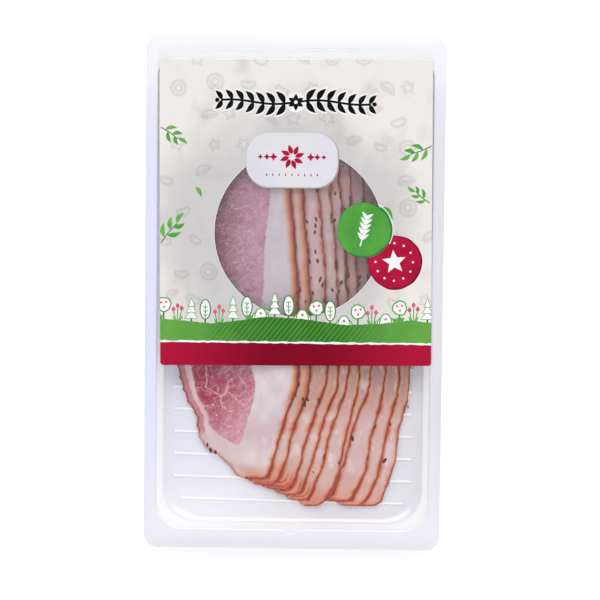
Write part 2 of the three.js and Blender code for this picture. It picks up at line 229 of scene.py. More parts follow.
# ---- Materials ----
class Graph:
    """A material's node tree, with short calls for the nodes that this scene uses."""

    def __init__(self, name, roughness, gloss):
        self.material = bpy.data.materials.new(name)
        self.material.use_nodes = True
        self.tree = self.material.node_tree
        self.shader = self.tree.nodes["Principled BSDF"]
        self.set("Roughness", roughness)
        self.set("Specular IOR Level", gloss)
        self.places = {}

    def fill(self, socket, value):
        if isinstance(value, bpy.types.NodeSocket):
            self.tree.links.new(value, socket)
        else:
            socket.default_value = value

    def set(self, name, value):
        self.fill(self.shader.inputs[name], value)

    def let_light_in(self, weight, radius, depth):
        self.set("Subsurface Weight", weight)
        self.set("Subsurface Radius", radius)
        self.set("Subsurface Scale", depth * MM)

    def node(self, kind, values=(), **settings):
        """A new node with its settings made and its first sockets filled."""
        node = self.tree.nodes.new("ShaderNode" + kind)
        for name, value in settings.items():
            setattr(node, name, value)
        for socket, value in zip(node.inputs, values):
            self.fill(socket, value)
        return node

    def attribute(self, name):
        return self.node("Attribute", attribute_name=name).outputs["Fac"]

    def place(self, stretch=(1, 1, 1), turn=0):
        """The point in millimetres, turned about Z and then squeezed along each axis."""
        key = (stretch, turn)
        if key not in self.places:
            point = self.node("TexCoord").outputs["Object"]
            node = self.node("Mapping", [point], vector_type="TEXTURE")
            node.inputs["Rotation"].default_value = (0, 0, math.radians(turn))
            node.inputs["Scale"].default_value = [MM / share for share in stretch]
            self.places[key] = node.outputs["Vector"]
        return self.places[key]

    def axis(self, name):
        return self.node("SeparateXYZ", [self.place()]).outputs[name]

    def distance(self, x, y, z):
        """Millimetres from a point."""
        return self.node("VectorMath", [self.place(), (x, y, z)], operation="DISTANCE").outputs["Value"]

    def noise(self, size, detail=2.0, stretch=(1, 1, 1), turn=0):
        node = self.node("TexNoise", [self.place(stretch, turn)])
        node.inputs["Scale"].default_value = 1 / size
        node.inputs["Detail"].default_value = detail
        return node.outputs["Fac"]

    def math(self, operation, *values):
        return self.node("Math", values, operation=operation).outputs[0]

    def smooth(self, value, low, high):
        """0 below low, 1 above high, and a soft step between them."""
        node = self.node("MapRange", [value, low, high], interpolation_type="SMOOTHSTEP")
        return node.outputs["Result"]

    def below(self, value, low, high):
        """1 below low, 0 above high."""
        return self.rest(self.smooth(value, low, high))

    def rest(self, value):
        return self.math("SUBTRACT", 1.0, value)

    def share(self, value, amount):
        return self.math("MULTIPLY", value, amount)

    def scaled(self, value, amount, offset):
        return self.math("MULTIPLY_ADD", value, amount, offset)

    def warp(self, value, noise, amount):
        """The value moved by a noise around its middle."""
        return self.scaled(self.math("SUBTRACT", noise, 0.5), amount, value)

    def mix(self, mask, base, coat, strength=None):
        """A coat over a base where the mask says. Plain colours have sRGB values of 0 to 255."""
        node = self.node("Mix", [mask if strength is None else self.share(mask, strength)], data_type="RGBA")
        for socket, colour in zip(node.inputs[6:8], (base, coat)):
            self.fill(socket, srgb(*colour) if isinstance(colour, tuple) else colour)
        return node.outputs[2]

    def ramp(self, value, reach, stops):
        """A colour and a strength that change with a distance, given as (distance, colour, strength)."""
        node = self.node("ValToRGB", [self.math("DIVIDE", value, reach)])
        elements = node.color_ramp.elements
        while len(elements) < len(stops):
            elements.new(1.0)
        for element, (distance, colour, strength) in zip(elements, stops):
            element.position = distance / reach
            element.color = (*srgb(*colour)[:3], strength)
        return node.outputs["Color"], node.outputs["Alpha"]

    def over(self, below, ramp, strength):
        """A ramp's colour laid over another one."""
        colour, alpha = ramp
        return self.mix(self.share(alpha, strength), below, colour)

    def bump(self, height, depth):
        node = self.node("Bump")
        node.inputs["Distance"].default_value = depth * MM
        self.fill(node.inputs["Height"], height)
        self.set("Normal", node.outputs["Normal"])


def tray_plastic():
    """Milky moulded plastic: cooler at the left, letting light through above its floor, with painted light
    and shade in its colour.
    """
    g = Graph("tray_plastic", 0.35, 0.3)
    across = g.smooth(g.axis("X"), -70, 40)
    above_floor = g.smooth(g.axis("Z"), 1.5, 4)
    at_flange = g.smooth(g.axis("Z"), 12.5, 13.6)
    end = g.smooth(g.math("ABSOLUTE", g.axis("Y")), 50, 112)
    # Painted light: the floor is lighter at the front left.
    front_left_painted_light = g.share(g.below(g.axis("Y"), -100, -76), g.below(across, 0.1, 0.9))
    base = g.mix(across, (226, 226, 239), (222, 220, 226))
    base = g.mix(front_left_painted_light, base, (236, 235, 240))
    # Painted shade: the flange is darker, with painted light making it lighter towards the ends and at the
    # far end.
    flange = g.mix(across, (206, 206, 238), (203, 203, 214))
    flange = g.mix(end, flange, (220, 219, 228))
    far = g.smooth(g.axis("Y"), 84, 98)
    flange = g.mix(far, flange, (226, 226, 236))
    # Painted light: the walls above the floor and the far end of the basin are whitened.
    clear = g.math("MAXIMUM", above_floor, far)
    tint = g.mix(clear, base, (248, 248, 253))
    tint = g.mix(at_flange, tint, flange)
    tint = g.mix(g.noise(30, 3, (1, 0.25, 1)), tint, (236, 235, 242), 0.25)
    # Painted highlight: the glint attribute whitens the colour on the rib crests and along the rim and fillet
    # at the two ends.
    g.set("Base Color", g.mix(g.attribute("glint"), tint, (255, 255, 255), 0.95))
    clear = g.share(clear, g.scaled(at_flange, -0.9, 1.0))
    g.let_light_in(g.scaled(clear, 0.85, 0.15), (1.0, 1.0, 1.0), 5)
    g.bump(g.noise(9, 2), 0.04)
    return g.material


def clear_film(name, alpha, tint):
    """Thin clear film with a little haze."""
    g = Graph(name, 0.16, 0.12)
    g.set("Base Color", srgb(*tint))
    g.set("Alpha", alpha)
    g.bump(g.noise(14, 1, (1, 0.5, 1)), 0.1)
    return g.material


def cured_ham():
    """Fat, muscle with marbling, the smoked rind and the cut edge, placed by the mesh's own distances."""
    g = Graph("cured_ham", 0.4, 0.25)
    patch = g.noise(9, 3)
    grain = g.noise(1.6, 3)
    fine = g.noise(0.6, 2)
    fibre = g.noise(1.5, 3, (0.3, 1, 1), FIBRE_TURN)
    wear = g.scaled(g.noise(7, 2, (0.4, 1, 1)), 2.8, -0.2)
    skin = g.warp(g.attribute("skin"), grain, 0.9)
    muscle = g.warp(g.attribute("muscle"), grain, 1.3)
    vein = g.warp(g.attribute("vein"), fine, 0.4)
    sole = g.warp(g.attribute("sole"), patch, 3)
    order = g.attribute("order")

    height = g.warp(g.axis("Y"), patch, 12)
    # Painted shade: this mask marks the slices near and under the label, where its shadow falls.
    label_shadow = g.smooth(height, -62, -44)
    under_window = g.smooth(height, -34, -16)
    first = g.below(order, 0.01, 0.09)
    early = g.below(order, 0.06, 0.3)
    late = g.rest(early)

    fat = g.mix(g.smooth(patch, 0.35, 0.65), (206, 195, 202), (211, 198, 201))
    fat = g.mix(g.below(height, -62, -50), fat, (201, 178, 184))
    fat = g.mix(g.below(height, -84, -62), fat, (220, 201, 199))
    fat = g.mix(under_window, fat, (204, 193, 200))
    strip = g.mix(g.smooth(patch, 0.3, 0.7), (202, 166, 160), (206, 176, 178))
    # Painted shade: the strips are darker and warmer near the label.
    strip = g.mix(label_shadow, strip, (180, 139, 126))
    # Painted shade: under the window the strips are darker, most at the right.
    window_shade = g.mix(g.smooth(order, 0.3, 0.9), (200, 172, 172), (166, 122, 130))
    strip = g.mix(under_window, strip, window_shade)
    fat = g.mix(first, strip, fat)
    fat = g.mix(g.smooth(fine, 0.5, 0.8), fat, (190, 172, 180), 0.25)
    blotch = g.noise(4.5, 3, (1, 0.6, 1))
    fat = g.mix(g.smooth(blotch, 0.52, 0.7), fat, (224, 214, 220), 0.45)
    fat = g.mix(g.below(blotch, 0.3, 0.46), fat, (192, 178, 186), 0.4)
    for x, y, size in SMUDGES:
        fat = g.mix(g.below(g.distance(x, y, 2.3), 0.3, size), fat, (186, 172, 176), 0.5)

    right = g.warp(g.smooth(g.axis("X"), -42, -18), patch, 0.7)
    below_label = g.math("MAXIMUM", g.math("SUBTRACT", -40.0, g.axis("Y")), 0.0)
    tip = g.warp(g.smooth(g.math("ADD", g.axis("X"), below_label), -34, 4), patch, 0.5)
    flesh = g.mix(tip, (158, 30, 70), (201, 144, 158))
    dusk = g.mix(right, (142, 54, 88), (190, 150, 168))
    flesh = g.mix(g.smooth(height, -45, -15), flesh, dusk, 0.85)
    streak = g.share(g.smooth(fibre, 0.5, 0.72), g.scaled(right, 0.3, 0.25))
    flesh = g.mix(streak, flesh, (212, 170, 184))
    flesh = g.mix(g.below(g.noise(5, 2), 0.36, 0.5), flesh, (146, 68, 100), 0.3)
    flesh = g.mix(g.smooth(grain, 0.55, 0.72), flesh, (150, 56, 84), 0.35)
    for size, strength in ((7, 0.45), (3.2, 0.3)):
        net = g.below(g.math("ABSOLUTE", g.math("SUBTRACT", g.noise(size, 4), 0.5)), 0.002, 0.018)
        flesh = g.mix(g.share(net, strength), flesh, (220, 184, 194))
    pale_vein = g.share(g.below(vein, 0.05, 0.45), g.smooth(grain, 0.25, 0.5))
    flesh = g.mix(pale_vein, flesh, (224, 188, 196), 0.75)
    node = g.share(g.below(vein, 0.3, 1.1), g.smooth(fine, 0.58, 0.66))
    flesh = g.mix(node, flesh, (236, 216, 220), 0.7)
    flesh = g.mix(g.below(g.distance(-23.9, -66.4, 2.3), 0.4, 1.2), flesh, (178, 62, 78), 0.8)
    colour = g.mix(g.smooth(muscle, -0.4, 0.5), fat, flesh)

    sole = g.share(sole, g.scaled(first, 1.1, 1.0))
    blush = g.ramp(sole, 20, [
        (0, (200, 102, 66), 0.95), (3, (204, 124, 94), 0.9), (7, (204, 142, 120), 0.75),
        (12, (204, 152, 134), 0.6), (19, (208, 172, 162), 0),
    ])
    colour = g.over(colour, blush, g.scaled(g.below(order, 0.55, 0.85), 0.45, 0.5))
    peel = g.ramp(skin, 7, [
        (0, (126, 44, 54), 1), (0.35, (146, 66, 74), 1), (0.9, (178, 104, 112), 1),
        (1.5, (190, 124, 132), 1), (2.6, (180, 124, 132), 1), (3.3, (218, 174, 184), 1),
        (4.3, (220, 186, 192), 0.8), (5.6, (222, 200, 204), 0),
    ])
    trim = g.ramp(skin, 4, [
        (0, (150, 84, 78), 1), (0.4, (196, 130, 120), 1), (1.2, (212, 162, 148), 0.9),
        (1.9, (214, 182, 174), 0.5), (2.8, (216, 196, 192), 0),
    ])
    low = g.below(height, -69, -61)
    # Painted shade: the rind lines are darkened in the label's shadow, less in the window and on the later
    # slices.
    label_rind_shade = g.share(label_shadow, g.scaled(under_window, -0.6, 1.0))
    label_rind_shade = g.share(label_rind_shade, g.scaled(late, -0.35, 1.0))
    colour = g.over(colour, peel, g.share(first, g.rest(low)))
    colour = g.over(colour, trim, g.share(first, low))
    # Each slice's own rind gets the warm ramp; beside the rind of the slice above (lap) the same ramp is part
    # smoke stain and part painted contact shadow.
    for name in ("lap", "rind"):
        distance = g.share(g.warp(g.attribute(name), grain, 0.6), wear)
        warm = g.ramp(distance, 3, [
            (0, (160, 52, 18), 1), (0.3, (168, 66, 30), 1), (0.6, (190, 102, 70), 0.95),
            (0.95, (200, 126, 98), 0.8), (1.5, (207, 148, 124), 0.65), (2.3, (210, 168, 154), 0),
        ])
        red = g.ramp(distance, 3, [
            (0, (154, 36, 12), 1), (0.4, (162, 44, 18), 1), (1, (192, 84, 50), 0.9),
            (1.7, (212, 136, 100), 0.6), (2.9, (220, 172, 146), 0),
        ])
        faded = g.rest(g.share(g.share(late, under_window), 0.3))
        colour = g.over(colour, warm, faded)
        # Painted shade: dark rind lines where the label's shadow falls.
        rind_shade = g.share(g.below(distance, 0.1, 0.75), label_rind_shade)
        colour = g.mix(rind_shade, colour, (80, 14, 4), 0.85)
        colour = g.over(colour, red, g.share(g.below(sole, 4, 14), 0.95))
    rind = g.warp(g.attribute("rind"), grain, 0.7)
    fold = g.below(g.math("PINGPONG", rind, 0.95), 0.1, 0.5)
    curl = g.share(g.attribute("curl"), g.smooth(patch, 0.3, 0.5))
    colour = g.mix(curl, colour, (206, 112, 84), 0.55)
    colour = g.mix(g.share(curl, fold), colour, (150, 30, 16), 0.9)
    amber = g.ramp(rind, 5, [
        (0, (96, 30, 14), 1), (0.65, (134, 54, 24), 1), (1.4, (188, 98, 50), 1),
        (2.1, (198, 124, 80), 0.9), (3, (204, 152, 124), 0.6), (4.5, (208, 180, 168), 0),
    ])
    colour = g.over(colour, amber, g.share(early, g.smooth(height, -58, -46)))
    spots = g.smooth(g.noise(3.4, 2, (1.6, 0.6, 1)), 0.48, 0.58)
    char = g.share(g.below(rind, 0.4, 1.7), spots)
    deep = g.scaled(g.share(late, under_window), 0.7, 0.25)
    colour = g.mix(g.share(char, deep), colour, (74, 28, 30))
    g.set("Base Color", colour)
    g.set("Roughness", g.scaled(fine, 0.2, 0.32))
    g.let_light_in(0.1, (1.0, 0.45, 0.35), 0.5)
    g.bump(g.math("ADD", fibre, g.share(fine, 0.5)), 0.22)
    return g.material


def pepper():
    """Crushed peppercorn and char."""
    g = Graph("pepper", 0.7, 0.1)
    g.set("Base Color", g.mix(g.smooth(g.noise(0.5, 2), 0.35, 0.65), (58, 20, 18), (112, 54, 46)))
    g.bump(g.noise(0.2, 2), 0.1)
    return g.material


def print_on(g, colour, size=5, depth=0.05):
    """Finishes an ink: its colour, and the label's grain under it."""
    g.set("Base Color", colour)
    g.bump(g.noise(size, 3), depth)
    return g.material


def ink(name, main, other, size=14):
    """A printed colour on the label's satin film, mottled softly."""
    g = Graph(name, 0.42, INK_GLOSS)
    return print_on(g, g.mix(g.smooth(g.noise(size, 3), 0.35, 0.68), main, other))


def striped_ink(name, main, other, line):
    """The hill's green: mottled, darker in the middle, with thin slanted hatching there."""
    g = Graph(name, 0.42, INK_GLOSS)
    x, y = g.axis("X"), g.axis("Y")
    side = g.smooth(g.math("ABSOLUTE", x), 12, 56)
    base = g.mix(g.warp(side, g.noise(9, 2), 0.5), main, other)
    hatch = g.math("PINGPONG", g.scaled(y, -0.8, x), 1.15)
    lines = g.share(g.below(hatch, 0.12, 0.4), g.below(side, 0.3, 0.95))
    return print_on(g, g.mix(lines, base, line, 0.55))


def shaded_ink(name, main, other, low, high, size):
    """A printed colour that turns from main in the middle of the pack to other at its sides, a painted
    reflection where the sides are lighter.
    """
    g = Graph(name, 0.4, INK_GLOSS)
    side = g.smooth(g.math("ABSOLUTE", g.axis("X")), low, high)
    return print_on(g, g.mix(g.warp(side, g.noise(size, 3), 0.35), main, other))


def paper_ink(name, stain):
    """The label's pale ground, greyer round the window, clouded partly as printed paper and partly as painted
    crease shade, and stained.
    """
    g = Graph(name, 0.42, INK_GLOSS)
    reach = g.scaled(g.axis("X"), 0.12, g.distance(*WINDOW_CENTRE, LABEL_BOTTOM))
    reach = g.warp(reach, g.noise(24, 3), 34)
    ground = g.mix(g.smooth(reach, 42, 70), (197, 195, 195), (226, 222, 219))
    # Part printed paper look, part painted shade of the label's creases.
    paper_and_crease_shade = g.smooth(g.noise(13, 4, (1, 0.7, 1)), 0.5, 0.75)
    ground = g.mix(paper_and_crease_shade, ground, (184, 176, 174), 0.45)
    return print_on(g, g.mix(stain, ground, (146, 126, 132)), 8, 0.3)


# ---- Meshes ----
def make_piece(name, points, faces, materials, replaced=(), crease=40):
    """A smooth-shaded mesh piece on the pack's body, from points in millimetres."""
    mesh = bpy.data.meshes.new(name)
    mesh.from_pydata((np.asarray(points, float) * MM).tolist(), [], faces)
    for material in materials:
        mesh.materials.append(material)
    mesh.shade_smooth()
    mesh.set_sharp_from_angle(angle=math.radians(crease))
    mesh.update()
    obj = new_object(name, mesh)
    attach(obj, "root")
    if replaced:
        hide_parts(*replaced)
    return obj


def new_object(name, data):
    obj = bpy.data.objects.new(name, data)
    bpy.context.scene.collection.objects.link(obj)
    return obj


def add_attribute(obj, name, values):
    layer = obj.data.attributes.new(name, "FLOAT", "POINT")
    layer.data.foreach_set("value", np.asarray(values, np.float32))


def closed_sheet(top, bottom):
    """Points and faces of a closed sheet between two grids of points, as rows of columns."""
    rows, columns = top.shape[:2]
    points = np.concatenate([top.reshape(-1, 3), bottom.reshape(-1, 3)])
    index = np.arange(rows * columns).reshape(rows, columns)
    a, b = index[:-1, :-1].ravel(), index[:-1, 1:].ravel()
    c, d = index[1:, 1:].ravel(), index[1:, :-1].ravel()
    under = rows * columns
    faces = [np.stack([a, b, c, d], 1), np.stack([d, c, b, a], 1) + under]
    rim = np.concatenate([index[0, :-1], index[:-1, -1], index[-1, :0:-1], index[:0:-1, 0]])
    following = np.roll(rim, -1)
    faces.append(np.stack([rim + under, following + under, following, rim], 1))
    return points, np.concatenate(faces).tolist()


def columns(*values):
    return np.column_stack(values)


def corner_inset(distance, radius):
    """How far a round corner draws an edge in, at a distance from the end of the piece."""
    reach = np.clip(1 - distance / radius, 0, 1)
    return radius * (1 - np.sqrt(1 - reach**2))


def end_heights(radius, steps):
    """Distances from an end, close together where a round corner turns fastest."""
    return radius * (1 - np.cos(np.linspace(0, math.pi / 2, steps)))


# ---- Tray ----
def ring(half_width, low, high, corner, notch, z):
    """Points round one level of the tray, anticlockwise, with the notch in the front side."""
    box = rounded_box(0, (low + high) / 2, half_width, (high - low) / 2, corner, 13)
    x = np.linspace(-NOTCH_HALF_WIDTH - 1, NOTCH_HALF_WIDTH + 1, 25)
    share = 0.5 + 0.5 * np.cos(math.pi * np.minimum(np.abs(x) / NOTCH_HALF_WIDTH, 1))
    flat = np.vstack([box, columns(x, low - notch * share**1.3)])
    return columns(flat, np.full(len(flat), z)).tolist()


def basin_ring(inset_side, inset_end, corner, notch, z):
    low, high = RIM_FRONT + inset_end, RIM_BACK - inset_end
    return ring(RIM_HALF_WIDTH - inset_side, low, high, corner, notch, z)


def skin_rings(grow):
    """The rings of one skin of the tray from the flange's edge in and down to the floor."""
    top = FLANGE_TOP - grow
    edge = 0.12
    outer = (PACK_HALF_WIDTH - edge, edge - PACK_HALF_LENGTH, PACK_HALF_LENGTH - edge)
    rings = [ring(*outer, PACK_CORNER, 0, top)]
    for angle in np.linspace(0, math.pi / 2, 6):
        inset = (RIM_ROUND - grow) * math.sin(angle) - RIM_ROUND
        z = FLANGE_TOP - RIM_ROUND + (RIM_ROUND - grow) * math.cos(angle)
        rings.append(basin_ring(inset, inset, RIM_CORNER - inset, NOTCH_DEPTH, z))
    fillet = FLOOR_FILLET + grow
    fillet_top = SHEET + FLOOR_FILLET
    mean_corner = (FLOOR_CORNER + RIM_CORNER) / 2
    for share in (0.35, 0.7):
        z = FLANGE_TOP - RIM_ROUND + (fillet_top - FLANGE_TOP + RIM_ROUND) * share
        corner = RIM_CORNER + (mean_corner - RIM_CORNER) * share
        notch = NOTCH_DEPTH + (0.5 - NOTCH_DEPTH) * share
        side, end = SIDE_DRAFT * share - grow, END_DRAFT * share - grow
        rings.append(basin_ring(side, end, corner, notch, z))
    for angle in np.linspace(0, math.pi / 2, 8):
        share = angle / (math.pi / 2)
        inset = fillet * (1 - math.cos(angle)) - grow
        corner = mean_corner + (FLOOR_CORNER - mean_corner) * share
        z = fillet_top - fillet * math.sin(angle)
        rings.append(basin_ring(SIDE_DRAFT + inset, END_DRAFT + inset, corner, 0.5 - 0.3 * share, z))
    return rings


def rib_axis(index):
    """The two ends of the middle line of a rib's crest."""
    at_end = index in (0, RIB_COUNT - 1)
    reach = (END_RIB_HALF_LENGTH if at_end else RIB_HALF_LENGTH) - RIB_HALF_WIDTH
    y = RIB_FRONT + index * RIB_PITCH
    return arc(0, y, reach, RIB_SKEW + 180, RIB_SKEW, 2)


def rib_height(points):
    """Height of the ribs above the floor at each point."""
    away = np.min([distance_to(points, rib_axis(index)) for index in range(RIB_COUNT)], axis=0)
    return RIB_HEIGHT * (0.5 + 0.5 * np.cos(math.pi * np.minimum(away / RIB_HALF_WIDTH, 1)))


def floor_mesh(outline):
    """Points and triangles of the floor inside its outline, with lines along every rib."""
    points = [p[:2] for p in outline]
    edges = [(i, (i + 1) % len(outline)) for i in range(len(outline))]
    for index in range(RIB_COUNT):
        start, end = rib_axis(index)
        for offset in np.linspace(0.0, 1.0, 7)[1:] * RIB_HALF_WIDTH:
            near = arc(*end, offset, RIB_SKEW - 90, RIB_SKEW + 90, 9)
            contour = [*near, *arc(*start, offset, RIB_SKEW + 90, RIB_SKEW + 270, 9)]
            first = len(points)
            points += contour
            edges += [(first + i, first + (i + 1) % len(contour)) for i in range(len(contour))]
        edges.append((len(points), len(points) + 1))
        points += [start, end]
    points = [Vector(p) for p in points]
    flat, _, triangles, *_ = delaunay_2d_cdt(points, edges, [list(range(len(outline)))], 1, 1e-5)
    return np.array([p[:] for p in flat]), np.array(triangles)


def tray():
    """The tray with its glint, a painted highlight: how much each point's colour is whitened, along the rib
    crests and at the two ends.
    """
    chain = skin_rings(SHEET)[::-1]
    edge = (PACK_HALF_WIDTH, -PACK_HALF_LENGTH, PACK_HALF_LENGTH)
    for drop in (0.38, 0.12):
        chain.append(ring(*edge, PACK_CORNER, 0, FLANGE_TOP - drop))
    chain += skin_rings(0)
    count = len(chain[0])
    points = [p for level in chain for p in level]
    # The glint is a painted highlight: its strength at the two ends, ring by ring, and on the rib crests by
    # their height.
    at_end = np.clip((np.abs(np.array(points)[:, 1]) - GLINT_START) / GLINT_FADE, 0, 1)
    bright = SKIN_GLINT[::-1] + (0, 0) + SKIN_GLINT
    glint = (at_end * np.repeat(bright, count)).tolist()
    faces = []
    for level in range(len(chain) - 1):
        for i in range(count):
            a, b = level * count + i, level * count + (i + 1) % count
            faces.append((a, b, b + count, a + count))
    flat, triangles = floor_mesh(chain[0])
    height = SHEET + rib_height(flat)
    for lift, order in ((0, (0, 1, 2)), (-SHEET, (2, 1, 0))):
        first = len(points)
        points += columns(flat, height + lift).tolist()
        glint += (((height - SHEET) / RIB_HEIGHT) ** 2).tolist()
        faces += (triangles[:, order] + first).tolist()
    obj = make_piece("tray_moulding", points, faces, [tray_plastic()], ["tray"], 50)
    add_attribute(obj, "glint", glint)
    weld(obj)


def weld(obj):
    """Joins the points that coincide."""
    modifier = obj.modifiers.new("weld", "WELD")
    modifier.merge_threshold = 0.005 * MM


# ---- Film and label ----
def lid_swell(x, y):
    """How far the sealed film and its label stand above their flat level at each point."""
    inside = np.minimum(RIM_HALF_WIDTH - np.abs(x), np.minimum(RIM_BACK - y, y - RIM_FRONT))
    hold = np.clip((inside + 1) / 9, 0, 1)
    hold = hold**2 * (3 - 2 * hold)
    swell = 0.1 * np.sin(x / 9 + 0.6 * np.sin(y / 17)) + 0.12 * np.sin(y / 13 + x / 31)
    for cx, cy, degrees, length, width, height in CREASES:
        cos, sin = math.cos(math.radians(degrees)), math.sin(math.radians(degrees))
        along = (x - cx) * cos + (y - cy) * sin
        across = (y - cy) * cos - (x - cx) * sin
        swell = swell + height * np.exp(-((along / length) ** 2) - (across / width) ** 2)
    return hold * (swell + 0.25)


def film():
    """The clear lidding film, as large as the flange, with a whitish strip of painted light over the gap at
    the far end.
    """
    half, corner = PACK_HALF_LENGTH, PACK_CORNER
    ends = end_heights(corner, 9)
    y = np.concatenate([-half + ends, np.linspace(corner - half, half - corner, 90)[1:-1], half - ends[::-1]])
    reach = PACK_HALF_WIDTH - corner_inset(half - np.abs(y), corner)
    share = np.linspace(-1, 1, 56)
    x = reach[:, None] * share[None, :]
    grid_y = np.repeat(y[:, None], len(share), 1)
    low = FLANGE_TOP + FACE_GAP + lid_swell(x, grid_y)
    bottom = np.stack([x, grid_y, low], 2)
    points, faces = closed_sheet(bottom + [0, 0, FILM], bottom)
    materials = [
        clear_film("lid_film", 0.015, (240, 240, 248)),
        # Painted light: a whitish, half opaque strip over the shaded gap at the far end.
        clear_film("gap_light_film", 0.6, (252, 252, 255)),
    ]
    obj = make_piece("lidding_film", points, faces, materials, ["lid_film"])
    for polygon in obj.data.polygons:
        across, along, _ = polygon.center / MM
        polygon.material_index = int(GAP_LIGHT_START < along < GAP_LIGHT_END and abs(across) < RIM_HALF_WIDTH)


class Art:
    """Printed shapes in painter's order, each an ink's name and a closed outline."""

    def __init__(self):
        self.shapes = []

    def fill(self, name, outline):
        x, y = np.asarray(outline, float).T
        clockwise = np.sum(x * np.roll(y, -1) - y * np.roll(x, -1)) < 0
        points = list(zip(x.tolist(), y.tolist()))
        self.shapes.append((name, points[::-1] if clockwise else points))

    def line(self, name, points, width, closed=False):
        """A pen line of even width, as one four-sided shape for each stretch."""
        points = np.asarray(points, float)
        if closed:
            points = np.vstack([points, points[:1]])
        steps = np.diff(points, axis=0)
        steps /= np.linalg.norm(steps, axis=1)[:, None] + 1e-9
        ahead = np.vstack([steps, steps[-1:]])
        behind = np.vstack([steps[:1], steps])
        if closed:
            ahead[-1] = steps[0]
            behind[0] = steps[-1]
        along = ahead + behind
        along /= np.linalg.norm(along, axis=1)[:, None] + 1e-9
        side = columns(-along[:, 1], along[:, 0]) * width / 2
        left, right = points - side, points + side
        for i in range(len(points) - 1):
            self.fill(name, [left[i], left[i + 1], right[i + 1], right[i]])

    def outlined(self, shape, name, width):
        """A white shape with a pen line round it."""
        self.fill("white", shape)
        self.line(name, shape, width, True)


def arc(x, y, radius, start, end, steps, squash=1.0):
    angles = np.radians(np.linspace(start, end, steps))
    return columns(x + radius * np.cos(angles), y + squash * radius * np.sin(angles))


def rough_disc(x, y, radius, rough, phase, steps=72):
    """A brushed disc: its edge wanders in and out."""
    angle = np.linspace(0, TURN, steps, endpoint=False)
    wander = np.sin(3 * angle + phase) + 0.6 * np.sin(7 * angle + 2 * phase) + 0.5 * np.sin(13 * angle)
    reach = radius + rough * wander
    return columns(x + reach * np.cos(angle), y + reach * np.sin(angle))


def leaf(x, y, length, width, degrees, bend=0.12, steps=9):
    """A pointed leaf that starts at (x, y)."""
    share = np.linspace(0, 1, steps)
    middle = bend * length * 4 * share * (1 - share)
    half = width / 2 * np.sin(math.pi * share**0.8)
    upper = columns(share * length, middle + half)
    lower = columns(share * length, middle - half)[-2:0:-1]
    return turned(np.vstack([upper, lower]), degrees, x, y)


def turned(points, degrees, x, y):
    cos, sin = math.cos(math.radians(degrees)), math.sin(math.radians(degrees))
    points = np.asarray(points, float)
    return columns(x + points[:, 0] * cos - points[:, 1] * sin, y + points[:, 0] * sin + points[:, 1] * cos)


def star(x, y, radius, inner, count, degrees=90):
    reach = np.where(np.arange(2 * count) % 2 == 0, radius, inner)
    angle = np.radians(degrees) + np.arange(2 * count) * math.pi / count
    return columns(x + reach * np.cos(angle), y + reach * np.sin(angle))


def rounded_box(x, y, half_width, half_height, corner, steps=7):
    corners = [(1, -1, -90), (1, 1, 0), (-1, 1, 90), (-1, -1, 180)]
    parts = [
        arc(x + sx * (half_width - corner), y + sy * (half_height - corner), corner, start, start + 90, steps)
        for sx, sy, start in corners
    ]
    return np.vstack(parts)


def draw_doodles(art, random):
    """Faint kitchen doodles all over the pale ground."""
    row_pitch, column_pitch = 13.5, 14.5
    for row in range(9):
        for column in range(9):
            x = -58 + column * column_pitch + (row % 2) * 7 + random.uniform(-2, 2)
            y = -3 + row * row_pitch + random.uniform(-2, 2)
            turn = random.uniform(-40, 40)
            size = random.uniform(2.6, 3.6)
            kind = int(random.integers(4))
            clear = math.hypot(x - WINDOW_CENTRE[0], y - WINDOW_CENTRE[1]) > WINDOW_RADIUS + 5
            if not clear or abs(x) > 58:
                continue
            if kind == 0:
                strokes = [arc(x, y, size, 0, 360, 15), arc(x, y, size * 0.5, 0, 360, 11)]
            elif kind == 1:
                outline = leaf(x, y, size * 2.4, size * 1.1, turn, 0.1, 7)
                strokes = [[*outline, outline[0]], turned([(0, 0), (size * 2, 0.3)], turn, x, y)]
            elif kind == 2:
                strokes = [turned(arc(0, 0, size, 190, 350, 9, 0.9), turn, x, y)]
                strokes.append(turned([(-size, 0), (size, 0)], turn, x, y))
            else:
                outline = star(x, y, size, size * 0.5, 5, turn)
                strokes = [[*outline, outline[0]]]
            for name, width in (("soft", 1.9), ("faint", 0.6)):
                for stroke in strokes:
                    art.line(name, stroke, width)


def draw_garland(art, y, half_width):
    """A dark herb garland with a pale outline, mirrored about the middle."""
    stem_x = np.linspace(-half_width, half_width, 41)
    stem_y = y + 0.9 * np.sin(stem_x / 6)
    stem = columns(stem_x, stem_y)
    leaves = []
    for side in (-1, 1):
        for k in range(7):
            at = side * (4.8 + 4.6 * k)
            for tilt in (52, -52):
                turn = tilt if side > 0 else 180 - tilt
                bend = 0.1 * np.sign(tilt) * side
                leaves.append((at, y + 0.9 * math.sin(at / 6), 6.8 - 0.25 * k, 2.7 - 0.08 * k, turn, bend))
    art.fill("white", rough_disc(0, y, 4.3, 0.1, 1, 32))
    for name, pen, longer, wider in (("white", 2.0, 0.8, 1.1), ("dark", 1.0, 0, 0)):
        art.line(name, stem, pen)
        for x, base, length, width, turn, bend in leaves:
            art.fill(name, leaf(x, base, length + longer, width + wider, turn, bend))
    for k in range(6):
        art.fill("dark", leaf(0, y, 3.8, 2.0, 60 * k + 30, 0))
    art.fill("white", arc(0, y, 0.8, 0, 350, 14))
    for at in (-half_width, half_width):
        end = at + math.copysign(1.6, at)
        art.fill("dark", arc(end, y + 0.9 * math.sin(at / 6), 1.0, 0, 340, 14))


